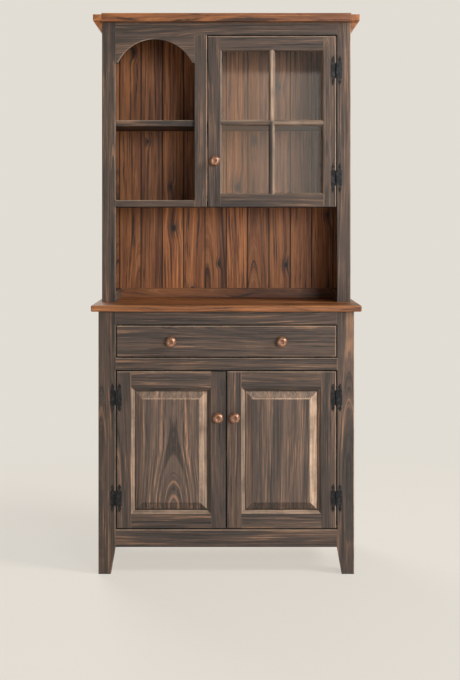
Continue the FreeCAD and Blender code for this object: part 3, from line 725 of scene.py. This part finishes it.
# Panels get painted light and shade in their corners and on their slanted faces.
PANEL = {"knots": 0.0, "pith": 0.0, "glazed": True, "edge_wear_and_light": 0.6}
LEFT_PANEL = {
    "strength": 0.7, "tint": 1.18, "painted_slope_light": 1.04, "arch": 0.0060, "heart": -0.07,
    "spread": 0.26, "behind": 0.002, "stave": 0.6, "origin": -0.488,
}
RIGHT_PANEL = {
    "strength": 0.6, "tint": 1.44, "slope_wear": 0.95, "painted_slope_light": 1.15, "streaks": 230.0,
    "arch": 0.0030, "heart": 0.05, "spread": 0.5, "behind": 0.004, "stave": 1.2, "origin": -0.22,
}
BACK = {
    "stave": BOARD_PITCH, "origin": BACK_FIRST_SEAM, "seams": True, "pith": 0.26, "behind": 0.006,
    "arch": 0.0016, "heart": -0.35, "spread": 0.4,
}

boards(GREY_STAIN, UP, "hutch_stile_left", arch=0.0004)
boards(GREY_STAIN, UP, "base_stile_left", foot=True)
boards(GREY_STAIN, UP, *PLAIN_UP)
boards(GREY_STAIN, UP, "left_door_meeting_stile", dull_edge=True)
boards(GREY_STAIN, UP, "glass_door_lock_stile", "glass_door_hinge_stile", slope_wear=0.35)
boards(GREY_STAIN, ACROSS, "arch_header", arched=True, strength=0.4)
boards(GREY_STAIN, ACROSS, *PLAIN_ACROSS)
boards(GREY_STAIN, ACROSS, "glass_door_top_rail", "glass_door_bottom_rail", slope_wear=0.35)
boards(GREY_STAIN, UP, "left_door_panel", **PANEL, **LEFT_PANEL)
boards(GREY_STAIN, UP, "right_door_panel", **PANEL, **RIGHT_PANEL)
boards(GREY_STAIN, UP_SIDE, "base_side_left", "base_side_right", stave=0.115)
boards(GREY_STAIN, UP_SIDE, "hutch_side_left", "hutch_side_right", stave=0.115)
boards(GREY_STAIN, ACROSS_FLAT, "niche_shelf", "display_shelf", "hutch_floor_board", stave=0.15, tint=0.84)
boards(GREY_STAIN, UP_SIDE, "hutch_divider", stave=0.15)
boards(GREY_STAIN, DEEP_SIDE, "hutch_side_cleats")
boards(GREY_STAIN, UP, "glass_door_muntins", "glazing_beads", knots=0.0, slope_wear=0.4)
boards(BROWN_STAIN, UP, "hutch_back_boards", **BACK)
boards(BROWN_STAIN, ACROSS, "hutch_back_rail", tint=0.74)
boards(BROWN_STAIN, DEEP_SIDE, "crown_side_mouldings")
boards(BROWN_STAIN, ACROSS_FLAT, "countertop", stave=0.125, tint=0.86)
boards(BROWN_STAIN, ACROSS_FLAT, "roof_board", stave=0.125, tint=0.83)
boards(BARE_WOOD, ACROSS_FLAT, "base_floor_board", "base_shelf", "drawer_bottom", stave=0.13)
boards(BARE_WOOD, ACROSS, "base_rear_rail", "drawer_back")
boards(GREY_STAIN, ACROSS, "door_catches")
boards(BARE_WOOD, UP, "base_back_panel", stave=0.2)
boards(BARE_WOOD, DEEP_SIDE, "drawer_sides", "drawer_runners")


def meets(first, second):
    """Whether two boxes lie flush in front and touch side by side."""
    return abs(first[0][Y] - second[0][Y]) <= FLUSH and all(
        first[0][axis] < second[1][axis] + TOUCH and second[0][axis] < first[1][axis] + TOUCH
        for axis in (X, Z)
    )


def grown(box, other):
    """The other box, grown along each axis in which it only touches this one, so that it hides
    the whole strip beside the edge that they share."""
    low = []
    high = []
    for axis in (X, Y, Z):
        overlap = min(box[1][axis], other[1][axis]) - max(box[0][axis], other[0][axis])
        grow = COVER_GROW if overlap < TOUCH else TOUCH
        low.append(other[0][axis] - grow)
        high.append(other[1][axis] + grow)
    return low, high


def widened(box, sideways, upwards):
    """A box with its left and right sides, its foot and its top moved outwards."""
    low = (box[0][X] - sideways, box[0][Y], box[0][Z] - upwards)
    high = (box[1][X] + sideways, box[1][Y], box[1][Z] + upwards)
    return low, high


def edges_of(name, box):
    """The boxes whose front edges are pale from abrasion and painted light, and painted dark as shade,
    each with the boxes that hide them.
    """
    if name in ("left_door_panel", "right_door_panel"):
        return [(widened(box, -PANEL_EDGE, -PANEL_EDGE), [])]
    if name == "glass_door_muntins":
        half_wide = (box[1][X] - box[0][X]) / 2
        half_tall = (box[1][Z] - box[0][Z]) / 2
        upright = widened(box, MUNTIN_FACE - half_wide, 0.0)
        crosspiece = widened(box, 0.0, MUNTIN_FACE - half_tall)
        return [(upright, [crosspiece]), (crosspiece, [upright])]
    if "door" in name and name in FRONT_ACROSS:
        return [(widened(box, COVER_GROW, 0.0), [])]
    if name not in FRONT or "door" in name:
        return [(box, [])]
    others = [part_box(other) for other in FRONT if other != name]
    covers = [other for other in others if meets(box, other)]
    covers += [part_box("countertop"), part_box("roof_board")]
    return [(box, [grown(box, other) for other in covers])]


def dress_boards():
    for number, (name, stain, axes, own) in enumerate(BOARDS):
        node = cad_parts[name]
        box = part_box(name)
        seed = FIRST_SEED + (SEED_STEP * number) % SEEDS
        spin = math.sin(7.0 * seed)
        board = {
            **stain,
            **ANY_BOARD,
            "name": name,
            "axes": axes,
            "box": box,
            "edges": edges_of(name, box),
            "seed": seed,
            "arch": math.copysign(0.0012, spin),
            "heart": 0.3 * spin,
            "tint": FRONT.get(name, 1.0),
            **own,
        }
        dress(node, wood(name + " wood", board, False), wood(name + " edge", board, True))
        rounded_edges(node)


# Glass, iron and copper
IRON_DARK = (30, 31, 34)
IRON_RUBBED = (54, 54, 56)


def clear_glass():
    """Glass that shadow rays and diffuse rays pass straight, so that it casts no dark shadow."""
    material, graph = new_material("clear glass")
    inputs = {
        "Base Color": (0.96, 0.985, 0.975, 1.0),
        "Roughness": 0.02,
        "IOR": 1.5,
        "Transmission Weight": 1.0,
    }
    glass = graph.add("ShaderNodeBsdfPrincipled", inputs)
    rays = graph.rays()
    open_air = graph.add("ShaderNodeBsdfTransparent", {"Color": (0.97, 0.98, 0.975, 1.0)})
    passes = graph.most(rays["Is Shadow Ray"], rays["Is Diffuse Ray"])
    graph.show(graph.blend(passes, glass, open_air))
    return material


def black_iron():
    """Forged iron with dents, grit and paler places polished by use."""
    material, graph = new_material("black iron")
    place = graph.place()
    dents = graph.noise(place, 260.0)
    grit = graph.noise(place, 1600.0)
    rub = graph.noise(place, 90.0, 3.0, 0.6)
    inputs = {
        "Base Color": graph.mix(graph.ramp(rub, 0.45, 0.7), tone(IRON_DARK), tone(IRON_RUBBED)),
        "Metallic": 0.6,
        "Roughness": graph.ramp(rub, 0.3, 0.7, 0.6, 0.42),
        "Normal": graph.bump(graph.plus(dents, graph.times(grit, 0.3)), 0.5, 0.0006),
    }
    graph.show(graph.add("ShaderNodeBsdfPrincipled", inputs))
    return material


def aged_copper(name, dull, bright, rough):
    """Copper with a patina and fine scratches."""
    material, graph = new_material(name)
    place = graph.place()
    patina = graph.noise(place, 120.0, 4.0, 0.6)
    scratch = graph.noise(place, 900.0, 3.0, 0.6)
    inputs = {
        "Base Color": graph.mix(graph.ramp(patina, 0.3, 0.7), tone(dull), tone(bright)),
        "Metallic": 0.55,
        "Roughness": graph.ramp(patina, 0.35, 0.65, rough + 0.06, rough - 0.04),
        "Normal": graph.bump(scratch, 0.25, 0.0003),
    }
    graph.show(graph.add("ShaderNodeBsdfPrincipled", inputs))
    return material


# Pieces built here: turned knobs and forged hinge leaves with their screws


def new_piece(name, add_part, parts, body, slot, materials, smooth=True):
    """An object riding on a body; add_part adds each of its parts to a bmesh."""
    mesh = bpy.data.meshes.new(name)
    form = bmesh.new()
    for part in parts:
        add_part(form, part)
    bmesh.ops.recalc_face_normals(form, faces=form.faces)
    for face in form.faces:
        face.smooth = smooth
    form.to_mesh(mesh)
    form.free()
    piece = bpy.data.objects.new(name, mesh)
    bpy.context.scene.collection.objects.link(piece)
    for material in materials:
        mesh.materials.append(material)
    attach(piece, body)
    return piece


def solids(name):
    """The lowest and highest corners of each separate solid in a CAD node."""
    form = bmesh.new()
    form.from_mesh(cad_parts[name].data)
    bmesh.ops.remove_doubles(form, verts=form.verts, dist=WELD)
    left = set(form.verts)
    boxes = []
    while left:
        seen = {left.pop()}
        waiting = list(seen)
        while waiting:
            here = waiting.pop()
            for link in here.link_edges:
                other = link.other_vert(here)
                if other not in seen:
                    seen.add(other)
                    waiting.append(other)
        left -= seen
        points = [vert.co for vert in seen]
        low = Vector([min(point[axis] for point in points) for axis in (X, Y, Z)])
        high = Vector([max(point[axis] for point in points) for axis in (X, Y, Z)])
        boxes.append((low, high))
    form.free()
    return sorted(boxes, key=lambda box: (round(box[0].x, 4), round(box[0].z, 4)))


NEAR_NOTHING = 1e-6


def lathe(form, profile, place, steps, closed=False):
    """Turns a profile of (radius, distance along the axis) about an axis; place maps them."""
    rings = []
    for radius, along in profile:
        if radius < NEAR_NOTHING:
            rings.append([form.verts.new(place(0, 0, along))])
            continue
        ring = []
        for step in range(steps):
            angle = 2 * math.pi * step / steps
            ring.append(form.verts.new(place(radius * math.cos(angle), radius * math.sin(angle), along)))
        rings.append(ring)
    pairs = list(zip(rings, rings[1:]))
    if closed:
        pairs.append((rings[-1], rings[0]))
    for first, second in pairs:
        for step in range(steps):
            after = (step + 1) % steps
            if len(first) == 1:
                form.faces.new((first[0], second[step], second[after]))
            elif len(second) == 1:
                form.faces.new((first[step], first[after], second[0]))
            else:
                form.faces.new((first[step], first[after], second[after], second[step]))


def lathe_forward(form, profile, centre, steps):
    """Turns a profile in millimetres about the line from a point towards the front."""
    metres = [(radius / 1000, along / 1000) for radius, along in profile]
    lathe(form, metres, lambda a, b, along: centre + Vector((a, -along, b)), steps)


# The turned profile of a knob as (radius, height) in millimetres, with a dish in its crown, and
# the radius and height in metres from which its faces are the dish
KNOB_PROFILE = (
    (0, 0), (9.0, 0), (9.0, 1.4), (8.4, 2.2), (7.4, 3.4), (7.0, 5.5), (7.0, 8.0), (7.6, 10.6),
    (9.4, 13.2), (12.6, 15.6), (16.2, 17.0), (18.2, 17.9), (18.9, 18.8), (19.0, 19.8),
    (18.8, 21.2), (18.2, 23.2), (17.2, 25.2), (15.8, 27.0), (14.2, 28.4), (12.4, 29.4),
    (10.6, 29.9), (9.0, 30.0), (8.0, 29.8), (7.0, 29.5), (6.0, 29.1), (4.6, 28.8), (2.6, 28.6),
    (0, 28.5),
)
KNOB_STEPS = 64
DISH_RADIUS = 0.0075
DISH_HEIGHT = 0.027
LEAST_KNOB_DEPTH = 0.02


def add_knob(form, seat):
    lathe_forward(form, KNOB_PROFILE, seat, KNOB_STEPS)
    for face in form.faces:
        away = face.calc_center_median() - seat
        if math.hypot(away.x, away.z) < DISH_RADIUS and -away.y > DISH_HEIGHT:
            face.material_index = 1


def knob_seats(node):
    """Where the knobs among the solids of a node sit: those that are deeper than hinge leaves."""
    return [
        Vector((middle(box, X), box[1].y, middle(box, Z)))
        for box in solids(node)
        if box[1].y - box[0].y > LEAST_KNOB_DEPTH
    ]


def add_knobs(coppers):
    seats = knob_seats("drawer_knobs")
    piece = new_piece("drawer_turned_knobs", add_knob, seats, "drawer", "aged_copper", coppers)
    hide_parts("drawer_knobs")
    for body in ("left_door", "right_door", "glass_door"):
        seats = knob_seats(body + "_hardware")
        piece = new_piece(body + "_turned_knob", add_knob, seats, body, "aged_copper", coppers)
        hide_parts(body + "_hardware")


# Hinges. The back of a leaf lies STAND_OFF behind its pivot, and the leaf reaches from LEAF_ROOT,
# or beside its own knuckles from LEAF_SPINE, to LEAF_REACH
LEAF_THICK = 0.002
LEAF_ROUND = 0.0005
LEAF_ROUND_STEPS = 2
BARREL_RADIUS = 0.0042
BARREL_STEPS = 32
BORE_RADIUS = 0.00202
KNUCKLE_GAP = 0.0004
KNUCKLE_CHAMFER = 0.0004
STAND_OFF = 0.0043
LEAF_REACH = 0.020
LEAF_ROOT = 0.0047
LEAF_SPINE = 0.001
LEAF_MIDDLE = (LEAF_ROOT + LEAF_REACH) / 2
GLASS_DOOR_LEAF = 0.112
LOWER_DOOR_LEAF = 0.100
HUTCH_LEVEL = 1.0

# Screws: their profile as (radius, height) in millimetres, and their places on a leaf
SCREW_PROFILE = ((0, 0.0), (2.5, 0.0), (2.5, 0.35), (2.2, 0.9), (1.5, 1.3), (0, 1.45))
SCREW_STEPS = 20
SCREW_ASIDE = 0.0008
SCREW_BELOW_SHOULDER = 0.0065
SCREW_BELOW_TIP = 0.0135


def softened(corners, times):
    """Cuts the corners of an open line, again and again; its two ends stay."""
    for _ in range(times):
        line = [corners[0]]
        for first, second in zip(corners, corners[1:]):
            line.append(first.lerp(second, 0.25))
            line.append(first.lerp(second, 0.75))
        line.append(corners[-1])
        corners = line
    return corners


def finial(shoulder, tip):
    """The upper end of a leaf: a waist, a lobe and a point."""
    corners = [
        (LEAF_ROOT, shoulder),
        (LEAF_ROOT + 0.0014, shoulder + 0.0025),
        (LEAF_MIDDLE - 0.0032, shoulder + 0.0048),
        (LEAF_MIDDLE - 0.0036, shoulder + 0.0066),
        (LEAF_MIDDLE - 0.0064, shoulder + 0.0112),
        (LEAF_MIDDLE - 0.0052, shoulder + 0.0158),
        (LEAF_MIDDLE - 0.0012, tip - 0.0018),
        (LEAF_MIDDLE, tip),
    ]
    left = softened([Vector(corner) for corner in corners], 2)
    right = [Vector((2 * LEAF_MIDDLE - point.x, point.y)) for point in reversed(left[1:-1])]
    return left + right[:-1] + [Vector((LEAF_REACH, shoulder - 0.002))]


def knuckle_heights(barrel, frame_side):
    """The lowest and highest place of each knuckle that a leaf carries."""
    end = barrel / 2
    third = barrel / 6
    half_gap = KNUCKLE_GAP / 2
    if frame_side:
        return [(-end, -third - half_gap), (third + half_gap, end)]
    return [(-third + half_gap, third - half_gap)]


def leaf_outline(tall, barrel, knuckles):
    """The outline of a leaf, with notches beside the other leaf's knuckles."""
    shoulder = barrel / 2
    upper = finial(shoulder, tall / 2)
    lower = [Vector((point.x, -point.y)) for point in reversed(upper)]
    line = []
    height = -shoulder
    for low, high in knuckles:
        if low > height + NEAR_NOTHING:
            line += [Vector((LEAF_ROOT, height)), Vector((LEAF_ROOT, low))]
        line += [Vector((LEAF_SPINE, low)), Vector((LEAF_SPINE, high))]
        height = high
    if height < shoulder - NEAR_NOTHING:
        line += [Vector((LEAF_ROOT, height)), Vector((LEAF_ROOT, shoulder))]
    clean = []
    for point in line + upper[1:] + lower[:-1]:
        if not clean or (point - clean[-1]).length > NEAR_NOTHING:
            clean.append(point)
    return clean


def add_plate(form, outline, place):
    """A plate from an outline; gives its front face."""
    back = [form.verts.new(place(point.x, 0.0, point.y)) for point in outline]
    front = [form.verts.new(place(point.x, LEAF_THICK, point.y)) for point in outline]
    form.faces.new(back)
    top = form.faces.new(front)
    count = len(outline)
    for step in range(count):
        after = (step + 1) % count
        form.faces.new((back[step], back[after], front[after], front[step]))
    return top


def add_knuckle(form, pivot, low, high):
    """A hollow knuckle round the pivot, chamfered at both ends."""
    profile = (
        (BORE_RADIUS, low), (BARREL_RADIUS - KNUCKLE_CHAMFER, low),
        (BARREL_RADIUS, low + KNUCKLE_CHAMFER), (BARREL_RADIUS, high - KNUCKLE_CHAMFER),
        (BARREL_RADIUS - KNUCKLE_CHAMFER, high), (BORE_RADIUS, high),
    )
    lathe(form, profile, lambda a, b, along: pivot + Vector((a, b, along)), BARREL_STEPS, True)


def add_leaf(form, leaf):
    """A plate and its knuckles. A leaf is (pivot, way, tall, barrel, whether it is the frame's),
    way being 1 to the right."""
    pivot, way, tall, barrel, frame_side = leaf
    knuckles = knuckle_heights(barrel, frame_side)

    def place(across, out, up):
        return pivot + Vector((way * across, STAND_OFF - out, up))

    top = add_plate(form, leaf_outline(tall, barrel, knuckles), place)
    rim = {"geom": list(top.edges), "affect": "EDGES"}
    bmesh.ops.bevel(form, **rim, offset=LEAF_ROUND, segments=LEAF_ROUND_STEPS, profile=0.5)
    for low, high in knuckles:
        add_knuckle(form, pivot, low, high)


def add_screws(form, leaf):
    """Round-headed screws: two beside a leaf's barrel and one in each of its ends."""
    pivot, way, tall, barrel, _ = leaf
    inner = barrel / 2 - SCREW_BELOW_SHOULDER
    outer = tall / 2 - SCREW_BELOW_TIP
    beside = LEAF_MIDDLE + SCREW_ASIDE
    for across, up in (
        (beside, -inner), (beside, inner), (LEAF_MIDDLE, outer), (LEAF_MIDDLE, -outer),
    ):
        centre = pivot + Vector((way * across, STAND_OFF - LEAF_THICK, up))
        lathe_forward(form, SCREW_PROFILE, centre, SCREW_STEPS)


def add_hinges(iron):
    """Leaves and screws for the six hinges, in place of the CAD leaves."""
    by_body = {"left_door": [], "right_door": [], "glass_door": []}
    for box in solids("hinge_pins"):
        pivot = Vector([middle(box, axis) for axis in (X, Y, Z)])
        barrel = box[1].z - box[0].z
        body, way = ("left_door", 1) if pivot.x < 0 else ("right_door", -1)
        tall = LOWER_DOOR_LEAF
        if pivot.z > HUTCH_LEVEL:
            body = "glass_door"
            tall = GLASS_DOOR_LEAF
        by_body[body].append((pivot, way, tall, barrel, False))
    look = ("black_iron", [iron])
    on_frame = []
    for body, leaves in by_body.items():
        piece = new_piece(body + "_hinge_leaves", add_leaf, leaves, body, *look, False)
        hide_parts(body + "_hardware")
        new_piece(body + "_hinge_screws", add_screws, leaves, body, *look)
        on_frame += [(pivot, -way, tall, barrel, True) for pivot, way, tall, barrel, _ in leaves]
    piece = new_piece("frame_hinge_leaves", add_leaf, on_frame, "carcass", *look, False)
    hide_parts("hinge_frame_leaves")
    new_piece("frame_hinge_screws", add_screws, on_frame, "carcass", *look)


def dress_metal_and_glass():
    iron = black_iron()
    coppers = [
        aged_copper("aged copper", (124, 88, 68), (188, 142, 114), 0.32),
        aged_copper("dark copper", (104, 74, 62), (142, 104, 88), 0.50),
    ]
    dress(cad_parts["glass_panes"], clear_glass())
    dress(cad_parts["hinge_pins"], iron)
    add_knobs(coppers)
    add_hinges(iron)


# Floor, light and camera


def add_floor():
    """A pale floor that takes shadows and fades into the background, as seen directly, in the
    panes or through them."""
    mesh = bpy.data.meshes.new("floor")
    half = FLOOR_HALF
    corners = [(-half, -half, 0), (half, -half, 0), (half, half, 0), (-half, half, 0)]
    mesh.from_pydata(corners, [], [(0, 1, 2, 3)])
    floor = bpy.data.objects.new("floor", mesh)
    bpy.context.scene.collection.objects.link(floor)
    material, graph = new_material("pale floor")
    place = graph.place()
    x, y, _ = graph.parts(place)
    far = graph.ramp(graph.length(x, y), *FLOOR_FADE)
    speck = graph.noise(place, 40.0, 3.0, 0.6)
    colour = graph.mix(speck, tone(FLOOR_TONE), tone(FLOOR_TONE, 0.985))
    inputs = {"Base Color": colour, "Roughness": 0.6, "Specular IOR Level": 0.2}
    matt = graph.add("ShaderNodeBsdfPrincipled", inputs)
    distant = graph.add("ShaderNodeEmission", {"Color": tone(BACKGROUND), "Strength": 1.0})
    rays = graph.rays()
    seen = graph.most(rays["Is Camera Ray"], rays["Is Glossy Ray"], rays["Is Transmission Ray"])
    share = graph.times(seen, graph.plus(FLOOR_SHOWN, graph.times(far, 1 - FLOOR_SHOWN)))
    graph.show(graph.blend(share, matt, distant))
    mesh.materials.append(material)


def add_world():
    """A soft room: plain ambient light, a pale background, and in front a dimmer room with a
    bright patch in it, which the panes reflect."""
    world = bpy.data.worlds.new("studio")
    bpy.context.scene.world = world
    world.use_nodes = True
    world.node_tree.nodes.clear()
    graph = Graph(world.node_tree)
    x, y, z = graph.parts(graph.place("Generated"))
    forward = graph.times(y, -1.0)
    high = graph.over(z, forward)
    right = graph.over(x, forward)
    top = math.tan(math.radians(GLOW_HIGH))
    side = math.tan(math.radians(GLOW_RIGHT))
    glow = graph.times(
        graph.ramp(high, top + 0.002, top - 0.002),
        graph.ramp(right, side + 0.003, side),
        graph.ramp(high, -0.10, -0.06),
        graph.ramp(right, -0.5, -0.4),
    )
    in_front = graph.ramp(forward, -0.2, 0.2)
    room = graph.plus(ROOM_DIM, graph.times(glow, PANE_GLOW - ROOM_DIM))
    mirrored = graph.plus(1.0, graph.times(in_front, graph.minus(room, 1.0)))
    warm, pale = [tone(steps) for steps in GLOW_TONES]
    hue = graph.mix(graph.ramp(right, 0.0, side), warm, pale)
    hue = graph.mix(graph.times(glow, in_front), tone(BACKGROUND), hue)

    ambient, reflected, plain = [
        graph.add("ShaderNodeBackground", {"Color": colour, "Strength": strength})
        for colour, strength in (
            (tone(AMBIENT_TONE), AMBIENT), (hue, mirrored), (tone(BACKGROUND), 1.0),
        )
    ]
    rays = graph.rays()
    straight = graph.most(rays["Is Camera Ray"], rays["Is Transmission Ray"])
    around = graph.blend(rays["Is Glossy Ray"], ambient, reflected)
    graph.show(graph.blend(straight, around, plain), "ShaderNodeOutputWorld")


def add_lamps():
    for name, azimuth, elevation, distance, size, power in LAMPS:
        lamp = bpy.data.lights.new(name, "AREA")
        lamp.shape = "SQUARE"
        lamp.size = size
        lamp.energy = power
        lamp.color = LAMP_TONE
        holder = bpy.data.objects.new(name, lamp)
        level = math.cos(math.radians(elevation))
        way = Vector((
            level * math.sin(math.radians(azimuth)),
            -level * math.cos(math.radians(azimuth)),
            math.sin(math.radians(elevation)),
        ))
        holder.location = Vector(LAMP_AIM) + distance * way
        holder.rotation_euler = way.to_track_quat("Z", "Y").to_euler()
        bpy.context.scene.collection.objects.link(holder)


def add_camera():
    scene = bpy.context.scene
    data = bpy.data.cameras.new("camera")
    data.sensor_width = SENSOR
    data.lens = FOCAL_PIXELS * SENSOR / IMAGE_HEIGHT
    data.shift_x = (IMAGE_WIDTH / 2 - CENTRE_COLUMN) / IMAGE_HEIGHT
    data.shift_y = -(IMAGE_HEIGHT / 2 - HORIZON_ROW) / IMAGE_HEIGHT
    camera = bpy.data.objects.new("camera", data)
    camera.location = CAMERA_PLACE
    camera.rotation_euler = (math.pi / 2, 0, 0)
    scene.collection.objects.link(camera)
    scene.camera = camera
    scene.view_settings.view_transform = "Standard"


dress_boards()
dress_metal_and_glass()
add_floor()
add_world()
add_lamps()
add_camera()
